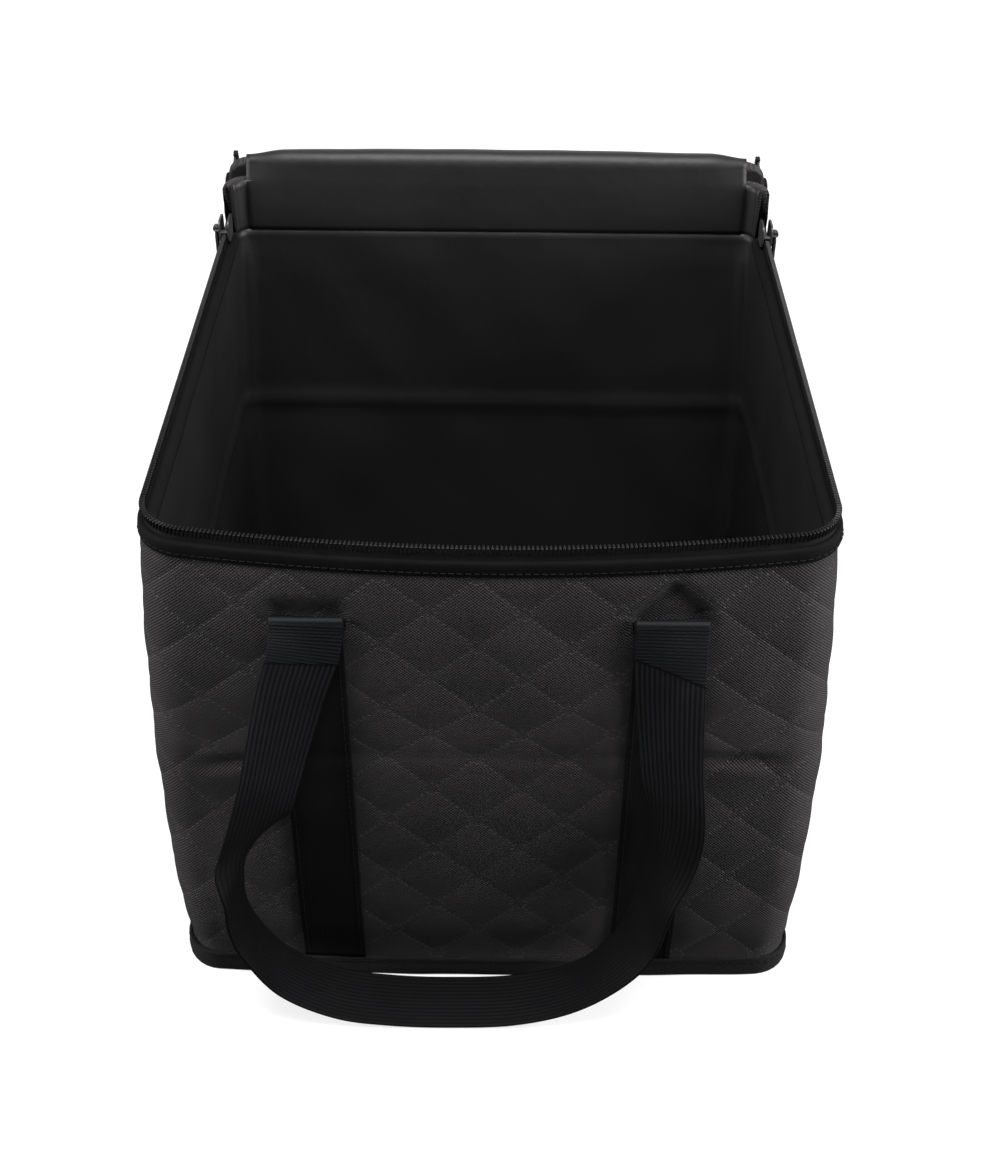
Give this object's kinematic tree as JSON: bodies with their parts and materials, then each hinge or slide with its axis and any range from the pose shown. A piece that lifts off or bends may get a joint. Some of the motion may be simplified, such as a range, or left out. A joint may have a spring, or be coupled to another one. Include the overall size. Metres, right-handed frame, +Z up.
{
  "type": "board game bag",
  "caption": "Square padded carry bag for board game boxes: quilted black fabric, film lining, zipped lid that folds over the back and webbing carry handles.",
  "frame": {"origin": "middle of the base on the surface the bag stands on", "axes": "+Z up, -Y towards the front wall with the hanging handle, +Y towards the lid hinge, +X to the right seen from the front"},
  "size_m": [0.3244, 0.4946, 0.3251],
  "materials": {
    "quilted_fabric": "matte",
    "padding": "matte",
    "film_lining": "satin",
    "board": "matte",
    "binding": "matte",
    "zip_tape": "matte",
    "zip_coil": "satin",
    "webbing": "satin",
    "slider_metal": "satin"
  },
  "bodies": {
    "bag": {"base_outer_panel": "quilted_fabric", "wall_outer_fabric": "quilted_fabric", "back_riser": "quilted_fabric", "base_padding": "padding", "front_wall_padding": "padding", "back_wall_padding": "padding", "left_wall_padding": "padding", "right_wall_padding": "padding", "corner_padding": "padding", "base_lining": "film_lining", "wall_lining": "film_lining", "lid_hinge_tape": "film_lining", "base_board": "board", "base_edge_binding": "binding", "rim_hem": "binding", "rim_zip_tape": "zip_tape", "zip_end_stops": "zip_tape", "rim_zip_coil": "zip_coil", "front_left_webbing_band": "webbing", "front_right_webbing_band": "webbing", "back_left_webbing_band": "webbing", "back_right_webbing_band": "webbing"},
    "lid": {"lid_outer_panel": "quilted_fabric", "lid_padding": "padding", "lid_lining": "film_lining", "lid_skirt": "binding", "lid_edge_binding": "binding", "lid_zip_tape": "zip_tape", "lid_zip_coil": "zip_coil"},
    "front_handle": {"front_handle_webbing": "webbing"},
    "back_handle": {"back_handle_webbing": "webbing"},
    "left_slider": {"left_slider_body": "slider_metal"},
    "right_slider": {"right_slider_body": "slider_metal"},
    "left_pull": {"left_pull_tab": "slider_metal"},
    "right_pull": {"right_pull_tab": "slider_metal"}
  },
  "joints": [
    {"name": "lid_swing", "type": "hinge", "parent": "bag", "child": "lid", "pos_m": [0, 0.1565, 0.31895], "axis": [1, 0, 0], "range_deg": [0, 250], "deforming": ["lid_hinge_tape"]},
    {"name": "front_handle_lift", "type": "hinge", "parent": "bag", "child": "front_handle", "pos_m": [0, -0.17036, 0.2485], "axis": [-1, 0, 0], "range_deg": [0, 165]},
    {"name": "back_handle_lift", "type": "hinge", "parent": "bag", "child": "back_handle", "pos_m": [0, 0.15785, 0.2485], "axis": [1, 0, 0], "range_deg": [0, 165]},
    {"name": "left_slider_travel", "type": "slide", "parent": "bag", "child": "left_slider", "axis": [0, -1, 0], "range_m": [0, 0.25]},
    {"name": "left_pull_swing", "type": "hinge", "parent": "left_slider", "child": "left_pull", "pos_m": [-0.1577, 0.1306, 0.29025], "axis": [0, 1, 0], "range_deg": [0, 150]},
    {"name": "right_slider_travel", "type": "slide", "parent": "bag", "child": "right_slider", "axis": [0, -1, 0], "range_m": [0, 0.25]},
    {"name": "right_pull_swing", "type": "hinge", "parent": "right_slider", "child": "right_pull", "pos_m": [0.1577, 0.1306, 0.29025], "axis": [0, -1, 0], "range_deg": [0, 150]}
  ],
  "couplings": [
    {"joint": "back_handle_lift", "follows": "lid_swing", "ratio": 0.66}
  ]
}
